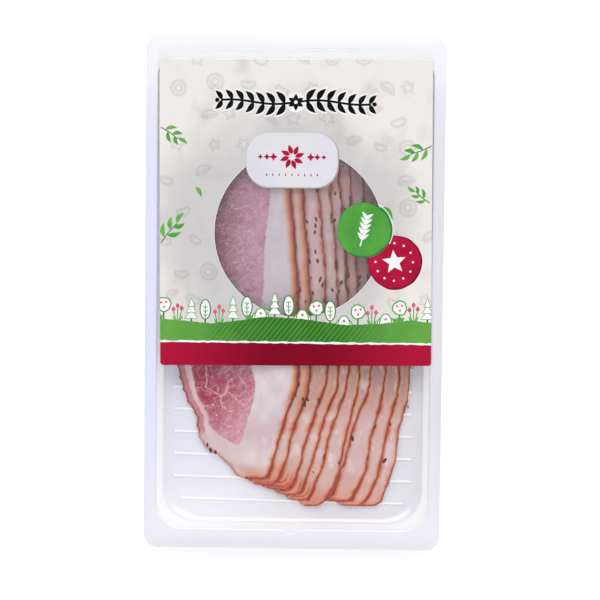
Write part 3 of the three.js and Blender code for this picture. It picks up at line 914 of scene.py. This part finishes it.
def draw_plaque(art, x, y):
    """A white plaque over the window's far edge, with a small crimson wreath of its own."""
    art.fill("shade", rounded_box(x + 0.2, y - 0.25, 20.6, 12.3, 10.2))
    art.fill("plaque", rounded_box(x, y, 20.2, 12, 10))
    for k, (leaf_x, leaf_y) in enumerate(arc(x, y + 1.3, 1.3, 0, 315, 8)):
        art.fill("crimson", leaf(leaf_x, leaf_y, 4.4, 2.1, 45 * k + 22, 0))
    art.fill("plaque", arc(x, y + 1.3, 1.2, 0, 345, 16))
    for side in (-1, 1):
        for k in range(3):
            at = x + side * (8.2 + 2.9 * k)
            art.fill("crimson", star(at, y + 1.3, 1.9 - 0.35 * k, 0.9 - 0.15 * k, 4, 90))
    for k in range(9):
        art.fill("crimson", star(x - 11.2 + 2.8 * k, y - 6.6, 0.75, 0.35, 2, 90))


def draw_badge(art, x, y, radius, base, accent, phase):
    art.fill(accent, rough_disc(x + 0.4, y - 0.2, radius + 0.25, 0.12, phase))
    art.fill(base, rough_disc(x, y, radius - 0.3, 0.16, phase + 1))
    art.line("white", arc(x, y, radius + 0.9, -70 + 30 * phase, 20 + 30 * phase, 20), 0.35)


def draw_badges(art):
    """Two brushed discs: a wheat ear on green and a star on crimson."""
    x, y, radius = 44.2, 14.7, 11.8
    draw_badge(art, x, y, radius, "crimson", "crimson_dark", 0.3)
    art.fill("white", star(x, y, 5.4, 2.4, 5, 96))
    for dot_x, dot_y in arc(x, y, 8.3, 0, 330, 12):
        art.fill("white", arc(dot_x, dot_y, 0.5, 0, 320, 9))
    x, y, radius = 30.6, 28.8, 12
    art.fill("green", leaf(x + 6, y + 9.5, 8.5, 3, -38, 0.2))
    draw_badge(art, x, y, radius, "green", "green_dark", 1.4)
    art.line("white", turned([(0, -7.5), (0.3, -2), (0, 6.5)], -12, x, y), 0.6)
    for k in range(5):
        for side in (-1, 1):
            base = turned([(0.1, -4.6 + 2.3 * k)], -12, x, y)[0]
            art.fill("white", leaf(*base, 4, 1.5, 90 - 12 - side * 42, side * 0.1))


def draw_sprig(art, x, y, degrees, size):
    """A green twig with five leaves."""
    art.line("green_dark", turned([(0, 0), (size * 0.5, 0.5), (size, 0.2)], degrees, x, y), 0.45)
    leaves = ((0.25, 42, 0.6), (0.4, -38, 0.6), (0.65, 36, 0.55), (0.8, -30, 0.5), (1, 4, 0.55))
    for at, tilt, length in leaves:
        base = turned([(size * at, 0.4)], degrees, x, y)[0]
        shade = "leaf_green" if tilt > 0 else "green"
        art.fill(shade, leaf(*base, size * length, size * 0.19, degrees + tilt, 0.12 * np.sign(tilt)))


def hill_top(x):
    """Height of the hill's top line at each x."""
    places, heights = np.array(HILL_TOP).T
    return np.interp(x, places, heights)


def draw_orchard(art, random):
    """A row of outlined trees, bushes and flowers along the hill."""
    pitch = 6.15
    for k in range(20):
        x = -57.6 + pitch * k
        ground = hill_top(x) - 0.5
        kind = (k * 3 + k // 4) % 5
        tall = random.uniform(0.92, 1.1)
        if kind == 0:
            crown = rough_disc(x, ground + 6.4 * tall, 3.1, 0.14, k, 40)
            art.line("green_dark", [(x, ground), (x, ground + 6 * tall)], 0.7)
            art.outlined(crown, "green", 0.6)
            for dx, dy in ((-1.2, 0.8), (1.1, 1.1), (0.1, -1.1)):
                art.fill("pink", arc(x + dx, ground + 6.4 * tall + dy, 0.55, 0, 315, 8))
        elif kind == 1:
            art.line("green_dark", [(x, ground), (x, ground + 2.2)], 0.8)
            for level in range(3):
                base = ground + 1.8 + 2.7 * level * tall
                half = 2.9 - 0.7 * level
                art.outlined([(x - half, base), (x + half, base), (x, base + 4)], "green", 0.55)
        elif kind == 2:
            for dx in (-1.7, 1.7, 0):
                radius, squash = (2, 1.4) if dx else (2.7, 1.7)
                art.outlined(arc(x + dx, ground, radius, 0, 180, 14, squash), "green", 0.5)
            art.fill("pink", arc(x, ground + 2.2, 0.6, 0, 315, 8))
        elif kind == 3:
            for dx, height in ((-1.8, 4.6), (0, 6.6 * tall), (1.8, 5)):
                art.line("green", [(x + dx * 0.4, ground), (x + dx, ground + height)], 0.45)
                head = ground + height
                art.fill("pink", leaf(x + dx, head - 0.4, 2.4, 1.8, 90, 0))
            art.fill("leaf_green", leaf(x, ground, 3.4, 1, 130, 0.1))
            art.fill("leaf_green", leaf(x, ground, 3.4, 1, 50, -0.1))
        else:
            crown = turned(arc(0, 0, 2.3, 0, 350, 30, 1.9), 0, x, ground + 6.3 * tall)
            art.line("green_dark", [(x, ground), (x, ground + 2.4)], 0.7)
            art.outlined(crown, "green_dark", 0.5)
            art.line("green", [(x, ground + 2.4), (x, ground + 8.4 * tall)], 0.4)
            for level in (3.4, 5.2, 7):
                low = ground + level
                art.line("green", [(x - 1.1, low + 0.8), (x, low), (x + 1.1, low + 0.8)], 0.35)


def draw_land(art, random):
    """The hatched hill, the torn white line and the crimson band down to the label's edge."""
    reach = 64
    x = np.linspace(-reach, reach, 75)
    grass = hill_top(x) + 0.12 * np.sin(2.3 * x)
    bottom = -40
    art.fill("hill", [*columns(x, grass), (reach, bottom), (-reach, bottom)])
    for at in (-59, -20.5, -19.2, 44.8, 46.4, 48):
        for tilt in (-25, 0, 22):
            art.fill("green", leaf(at, hill_top(at) - 0.4, 2.6, 0.7, 90 + tilt, 0))
    for name, top, wander in (("white", TORN_TOP, 0.22), ("band", BAND_TOP, 0.2)):
        edge = columns(x, top + random.uniform(-wander, wander, len(x)))
        art.fill(name, [*edge, (reach, bottom), (-reach, bottom)])


def label_outline(steps):
    box = rounded_box(0, 0, LABEL_HALF_WIDTH, LABEL_HALF_LENGTH, LABEL_CORNER, steps)
    return turned(box, LABEL_TURN, *LABEL_CENTRE)


def label_art(outline):
    """Everything printed on the label, from the ground up."""
    art = Art()
    random = np.random.default_rng(4)
    art.fill("paper", outline)
    draw_doodles(art, random)
    for sprig in SPRIGS:
        draw_sprig(art, *sprig)
    art.fill("leaf_green", leaf(-44, 47, 5.5, 1.8, -60, 0.1))
    for name, margin in (("soft", 0.5), ("white", 0.22), ("window", 0)):
        art.fill(name, arc(*WINDOW_CENTRE, WINDOW_RADIUS + margin, 0, 356.25, 96))
    draw_garland(art, 84.6, 33)
    draw_plaque(art, -1.4, 59.2)
    draw_badges(art)
    draw_orchard(art, random)
    draw_land(art, random)
    top_edge = label_outline(3)
    art.line("white", top_edge[top_edge[:, 1] > 0], 0.9)
    return art


def printed_faces(art):
    """Points and triangles of the label's plan, and the name of the ink that tops each triangle."""
    points, shapes = [], []
    for _, shape in art.shapes:
        shapes.append(list(range(len(points), len(points) + len(shape))))
        points += [Vector(p) for p in shape]
    rows = np.arange(*PLAN_ALONG, PLAN_STEP)
    points += [Vector((x, y)) for x in np.arange(*PLAN_ACROSS, PLAN_STEP) for y in rows]
    flat, _, triangles, _, _, owners = delaunay_2d_cdt(points, [], shapes, 1, 1e-5)
    kept, inks = [], []
    for triangle, owner in zip(triangles, owners):
        if 0 in owner:
            kept.append(triangle)
            inks.append(art.shapes[max(owner)][0])
    return np.array([p[:] for p in flat]), np.array(kept), np.array(inks)


def thickened(flat, triangles, bottom, thickness):
    """A closed sheet on a set of triangles, with the upward direction of the ground at each point."""
    used, triangles = np.unique(triangles, return_inverse=True)
    triangles = triangles.reshape(-1, 3)
    x, y = flat[used].T
    low = bottom + lid_swell(x, y)
    step = 0.05
    slope_x, slope_y = (
        (lid_swell(x + dx, y + dy) - lid_swell(x - dx, y - dy)) / (2 * step)
        for dx, dy in ((step, 0), (0, step))
    )
    up = columns(-slope_x, -slope_y, np.ones_like(x))
    up /= np.linalg.norm(up, axis=1)[:, None]
    count = len(used)
    points = np.concatenate([columns(x, y, low + thickness), columns(x, y, low)])
    edges = np.concatenate([triangles[:, [0, 1]], triangles[:, [1, 2]], triangles[:, [2, 0]]])
    keys = np.sort(edges, 1)
    _, first, times = np.unique(keys[:, 0] * (2 * count) + keys[:, 1], return_index=True, return_counts=True)
    rim = edges[first[times == 1]]
    owner = np.tile(np.arange(len(triangles)), 3)[first[times == 1]]
    walls = columns(rim[:, 0] + count, rim[:, 1] + count, rim[:, 1], rim[:, 0])
    faces = triangles.tolist() + (triangles[:, ::-1] + count).tolist() + walls.tolist()
    return points, faces, up, owner


def sheet_piece(name, flat, triangles, inks, materials, replaced):
    """A printed sheet: its upper triangles have their inks, and its underside the first of them."""
    points, faces, up, owner = thickened(flat, triangles, LABEL_BOTTOM, LABEL_SHEET)
    obj = make_piece(name, points, faces, list(materials.values()), [replaced])
    names = list(materials)
    slots = np.array([names.index(i) for i in inks])
    under = np.zeros(len(slots), int)
    obj.data.polygons.foreach_set("material_index", np.concatenate([slots, under, slots[owner]]))
    count = len(up)
    loops = np.zeros(len(obj.data.loops), np.int32)
    obj.data.loops.foreach_get("vertex_index", loops)
    normals = np.zeros((len(loops), 3))
    flats = 3 * len(triangles)
    normals[:flats] = up[loops[:flats]]
    normals[flats:2 * flats] = -up[loops[flats:2 * flats] - count]
    for polygon in obj.data.polygons[2 * len(triangles):]:
        normals[list(polygon.loop_indices)] = polygon.normal
    obj.data.normals_split_custom_set(normals.tolist())


def label():
    """The printed label and the clear window in it, cut from one plan."""
    flat, triangles, inks = printed_faces(label_art(label_outline(5)))
    materials = {
        "paper": paper_ink("paper_ink", 0.0),
        "soft": paper_ink("soft_ink", 0.1),
        "faint": paper_ink("faint_ink", 0.28),
        "white": ink("white_ink", (238, 239, 239), (228, 231, 231)),
        "plaque": ink("plaque_ink", (217, 215, 222), (210, 209, 218), 20),
        "shade": ink("shade_ink", (176, 168, 170), (160, 150, 154)),
        "dark": ink("dark_ink", (14, 10, 12), (24, 20, 22)),
        "green": ink("green_ink", (84, 160, 66), (74, 146, 62), 8),
        "green_dark": ink("green_dark_ink", (62, 124, 70), (54, 108, 62), 8),
        "leaf_green": ink("leaf_green_ink", (108, 176, 78), (84, 152, 62), 4),
        "crimson": ink("crimson_ink", (178, 22, 62), (160, 16, 52), 8),
        "crimson_dark": ink("crimson_dark_ink", (134, 20, 46), (120, 16, 42), 8),
        "pink": ink("pink_ink", (214, 98, 128), (198, 74, 108), 6),
        "hill": striped_ink("hill_ink", (50, 112, 36), (98, 160, 71), (104, 166, 84)),
        # Painted reflection: the crimson band is lighter towards its sides.
        "band": shaded_ink("band_ink", (124, 6, 34), (168, 20, 54), 8, 60, 20),
    }
    clear = inks == "window"
    # The window film's grey-mauve tint dulls the ham seen through it: part haze of the film, part painted
    # shade from the label round the window.
    window_film = clear_film("label_window", 0.06, (168, 156, 166))
    sheet_piece("label_sheet", flat, triangles[~clear], inks[~clear], materials, "label")
    sheet_piece("window_film", flat, triangles[clear], inks[clear], {"window": window_film},
                "label_window")


# ---- Ham ----
def profile_at(pairs, y):
    """A smooth line through (height, value) pairs that fall in height, read at each y."""
    heights, values = np.array(pairs, float).T
    y = np.asarray(y, float)
    last = len(heights) - 1
    i = np.clip(last + 1 - np.searchsorted(heights[::-1], y, side="right"), 1, last)
    after = np.minimum(np.arange(last + 1) + 1, last)
    before = np.maximum(np.arange(last + 1) - 1, 0)
    slope = (values[after] - values[before]) / (heights[after] - heights[before])
    span = heights[i] - heights[i - 1]
    t = np.clip((y - heights[i - 1]) / span, 0, 1)
    fall = 3 * t**2 - 2 * t**3
    leave = (t**3 - 2 * t**2 + t) * span * slope[i - 1]
    arrive = (t**3 - t**2) * span * slope[i]
    return (1 - fall) * values[i - 1] + fall * values[i] + leave + arrive


def left_edge(index, y):
    return profile_at(LEFT_EDGE, y - (SLICES[index][1] - SLICES[0][1])) + SLICE_STEP * index


def rind_edge(index, y):
    y = np.asarray(y, float)
    rind, _, profile, swing = SLICES[index]
    share = np.where(y < SLICE_BELLY, swing, 1)
    ripple = RIPPLE * np.sin(TURN * y / RIPPLE_LENGTH + 2.4 * index)
    crinkle = 0.14 * np.sin(TURN * y / 8.9 + 1.9 * index + np.sin(y / 6.3 + index))
    fray = 0.06 * np.sin(TURN * y / 4.1 + 4.3 * index)
    return rind + profile_at(profile, y) * share + ripple + crinkle + fray


def torn_left_edge(index, y):
    """The left edge with the small crumbs of its skin below the label."""
    crumbs = 0.3 * np.sin(TURN * y / 5.3 + 0.8) + 0.2 * np.sin(TURN * y / 2.7 + 2)
    return left_edge(index, y) + crumbs * np.clip((-30 - y) / 10, 0, 1)


def layers_at(x, y):
    """How many slices' left edges lie to the left of each point, counted smoothly."""
    count = np.zeros(np.shape(x))
    edges = [left_edge(i, y) - COLUMN_MARGIN for i in range(len(SLICES))]
    for low, high in zip(edges, edges[1:]):
        count += np.clip((x - low) / (high - low), 0, 1)
    return count


def soft_ramp(value, softness=0.25):
    """max(value, 0) with its corner rounded off from above."""
    middle = (value + softness) ** 2 / (4 * softness)
    return np.where(value < -softness, 0, np.where(value > softness, value, middle))


def underside(index, x, y):
    """Height of the underside of a slice, draped over the slices beneath it."""
    return HAM_BOTTOM + LAYER * soft_ramp(layers_at(x, y) - index)


def distance_to(points, line):
    """Distance from each point to the nearest place on a line of points."""
    best = np.full(len(points), 1e9)
    for (x0, y0), (x1, y1) in zip(line, line[1:]):
        dx, dy = x1 - x0, y1 - y0
        x, y = points[:, 0] - x0, points[:, 1] - y0
        share = np.clip((x * dx + y * dy) / (dx * dx + dy * dy + 1e-12), 0, 1)
        best = np.minimum(best, np.hypot(x - share * dx, y - share * dy))
    return best


def inside(points, outline):
    """Whether each point lies inside a closed outline."""
    found = np.zeros(len(points), bool)
    for (x0, y0), (x1, y1) in zip(outline, [*outline[1:], outline[0]]):
        crosses = (y0 > points[:, 1]) != (y1 > points[:, 1])
        at = (x1 - x0) * (points[:, 1] - y0) / ((y1 - y0) or 1e-12) + x0
        found ^= crosses & (points[:, 0] < at)
    return found


def rounded_outline(points, steps=5):
    """A closed smooth outline through the points given."""
    points = np.array(points, float)
    result = []
    for i in range(len(points)):
        p0, p1, p2, p3 = (points[(i + k) % len(points)] for k in (-1, 0, 1, 2))
        for t in np.arange(steps) / steps:
            result.append(0.5 * (2 * p1 + (p2 - p0) * t + (2 * p0 - 5 * p1 + 4 * p2 - p3) * t**2
                                 + (3 * p1 - p0 - 3 * p2 + p3) * t**3))
    return [tuple(p) for p in result]


def slice_rows(index):
    """Heights of a slice's rows of points, closer together below the label and at both ends."""
    foot = SLICES[index][1]
    back = HAM_BACK - 0.5 * index + index % 3
    width = rind_edge(index, foot) - left_edge(index, foot)
    corner = min(FOOT_CORNER, 0.4 * width)
    start = foot + end_heights(corner, 9)
    end = back - end_heights(BACK_CORNER, 11)[::-1]
    fine = np.arange(start[-1] + FINE_STEP, FINE_END, FINE_STEP)
    coarse = np.arange(fine[-1] + COARSE_STEP, end[0] - COARSE_STEP / 2, COARSE_STEP)
    return np.concatenate([start, fine, coarse, end]), foot, back, corner


def slice_shares(index, width):
    """Where the columns of points stand across a row, from 0 at the left to 1 at the rind."""
    near = np.array(COLUMNS_FROM_RIND) * min(1, 0.5 * width / COLUMNS_FROM_RIND[-1])
    at_left, between = (8, 72) if index == 0 else (4, 14)
    left = near[:at_left]
    middle = np.linspace(left[-1], width - near[-1], between)[1:-1]
    return np.concatenate([left, middle, width - near[::-1]]) / width


def upper_line(index, rows):
    """The rind and the foot of the slice that lies on this one, as one line of points."""
    above = index - 1
    foot = SLICES[above][1]
    heights = rows[rows > foot][::-1]
    line = list(zip(rind_edge(above, heights).tolist(), heights.tolist()))
    turn = [(rind_edge(above, foot) - FOOT_CORNER * s, foot + FOOT_CORNER * (1 - s)) for s in (0.3, 0.7)]
    return [*line, *[(float(a), b) for a, b in turn], (float(left_edge(above, foot)), foot)]


def ham_slice(index, material):
    rows, foot, back, corner = slice_rows(index)
    inset = corner_inset(rows - foot, corner) + corner_inset(back - rows, BACK_CORNER)
    low = torn_left_edge(index, rows) + inset
    high = rind_edge(index, rows) - inset
    x = np.array([a + (b - a) * slice_shares(index, b - a) for a, b in zip(low, high)])
    y = np.repeat(rows[:, None], x.shape[1], 1)
    flat = columns(x.ravel(), y.ravel())
    right_line = columns(high, rows)
    foot_line = np.array([(low[0], rows[0]), (high[0], rows[0])])
    left_line = columns(low, rows)
    rind = np.minimum(distance_to(flat, right_line), distance_to(flat, foot_line))
    skin = distance_to(flat, left_line)
    lap = distance_to(flat, upper_line(index, rows)) if index else np.full(len(flat), 9.0)
    edge = np.minimum(np.minimum(rind, skin), back - flat[:, 1])
    drop = EDGE_ROUND - np.sqrt(np.maximum(EDGE_ROUND**2 - np.maximum(EDGE_ROUND - edge, 0) ** 2, 0))
    drop = drop.reshape(x.shape)
    relief = 0.05 + 0.03 * np.sin(x / 2.1 + index) * np.sin(y / 3.3) + 0.02 * np.sin(y / 1.7 + x)
    low_z = underside(index, x, y)
    top = np.stack([x, y, low_z + SLICE_THICKNESS - relief - drop], 2)
    bottom = np.stack([x, y, low_z + 0.7 * drop], 2)
    points, faces = closed_sheet(top, bottom)
    name = f"ham_slice_{index + 1:02d}"
    obj = make_piece(f"{name}_meat", points, faces, [material], [name], 60)

    shift = (SLICE_STEP * index, SLICES[index][1] - SLICES[0][1])
    local = flat - shift
    outline = rounded_outline(MUSCLE)
    side = np.where(inside(local, outline), 1, -1)
    muscle = side * distance_to(local, [*outline, outline[0]])
    vein = np.min([distance_to(local, v) for v in VEINS], axis=0)
    order = np.full(len(flat), index / (len(SLICES) - 1))
    distances = {
        "rind": rind, "lap": lap, "skin": skin, "muscle": muscle, "vein": vein,
        "sole": flat[:, 1] - foot, "order": order,
        "curl": CURLS[index] * np.clip(1.6 - (flat[:, 1] - foot) / 6, 0, 1),
    }
    for key, values in distances.items():
        add_attribute(obj, key, np.tile(values, 2))


def top_slice(x, y):
    """The uppermost slice at a point, or the last one."""
    for index in range(len(SLICES)):
        if y > SLICES[index][1] and left_edge(index, y) - 1 < x < rind_edge(index, y):
            return index
    return len(SLICES) - 1


def flecks():
    """Crushed peppercorns and char on the slices, one joined piece."""
    random = np.random.default_rng(11)
    golden = (1 + 5**0.5) / 2
    corners = np.array([(s, t * golden, 0) for s in (-1, 1) for t in (-1, 1)])
    corners = np.concatenate([corners, np.roll(corners, 1, 1), np.roll(corners, 2, 1)]) / 1.9
    points, faces = [], []
    for x, y, size in FLECKS:
        index = top_slice(x, y)
        z = float(underside(index, np.array([x]), np.array([y]))[0]) + SLICE_THICKNESS - 0.08
        shape = corners * random.uniform(0.75, 1.2, (12, 1)) * (size * 0.52, size * 1.02, 0.34)
        turn = random.uniform(-0.5, 0.5)
        first = len(points)
        points += columns(turned(shape[:, :2], math.degrees(turn), x, y), shape[:, 2] + z).tolist()
        faces += [[first + i for i in face] for face in hull_faces(shape)]
    make_piece("ham_pepper", points, faces, [pepper()], (), 25)


def hull_faces(points):
    """The triangles of the convex hull of a few points, seen from outside."""
    mesh = bmesh.new()
    for index, point in enumerate(points):
        mesh.verts.new(point).index = index
    hull = bmesh.ops.convex_hull(mesh, input=mesh.verts[:])["geom"]
    faces = [[v.index for v in f.verts] for f in hull if isinstance(f, bmesh.types.BMFace)]
    mesh.free()
    return faces


# ---- Stage ----
def floor():
    mesh = bpy.data.meshes.new("floor")
    corners = [(-1, -1), (1, -1), (1, 1), (-1, 1)]
    mesh.from_pydata([(x * FLOOR_REACH, y * FLOOR_REACH, 0) for x, y in corners], [], [(0, 1, 2, 3)])
    obj = new_object("floor", mesh)
    g = Graph("studio_floor", 0.8, 0.1)
    g.set("Base Color", (0.93, 0.93, 0.93, 1))
    g.set("Emission Color", (1, 1, 1, 1))
    g.set("Emission Strength", FLOOR_GLOW)
    mesh.materials.append(g.material)


def lights():
    """Even studio light from all round, with a broad soft sun from beyond the far end."""
    world = bpy.data.worlds.new("studio")
    world.use_nodes = True
    background = world.node_tree.nodes["Background"]
    background.inputs["Color"].default_value = (1, 1, 1, 1)
    background.inputs["Strength"].default_value = WORLD_LIGHT
    bpy.context.scene.world = world
    sun = bpy.data.lights.new("key", "SUN")
    sun.energy = SUN_POWER
    sun.angle = math.radians(SUN_SPREAD)
    new_object("key", sun).rotation_euler = (math.radians(SUN_TILT), 0, 0)


def camera():
    data = bpy.data.cameras.new("camera")
    data.lens = CAMERA_LENS
    data.sensor_width = 36
    data.clip_start = 0.05
    obj = new_object("camera", data)
    obj.location = [value * MM for value in CAMERA_PLACE]
    obj.rotation_euler = [math.radians(value) for value in CAMERA_TURN]
    bpy.context.scene.camera = obj


camera()
floor()
lights()
bpy.context.scene.view_settings.view_transform = "Standard"
tray()
film()
label()
ham = cured_ham()
for number in range(len(SLICES)):
    ham_slice(number, ham)
flecks()
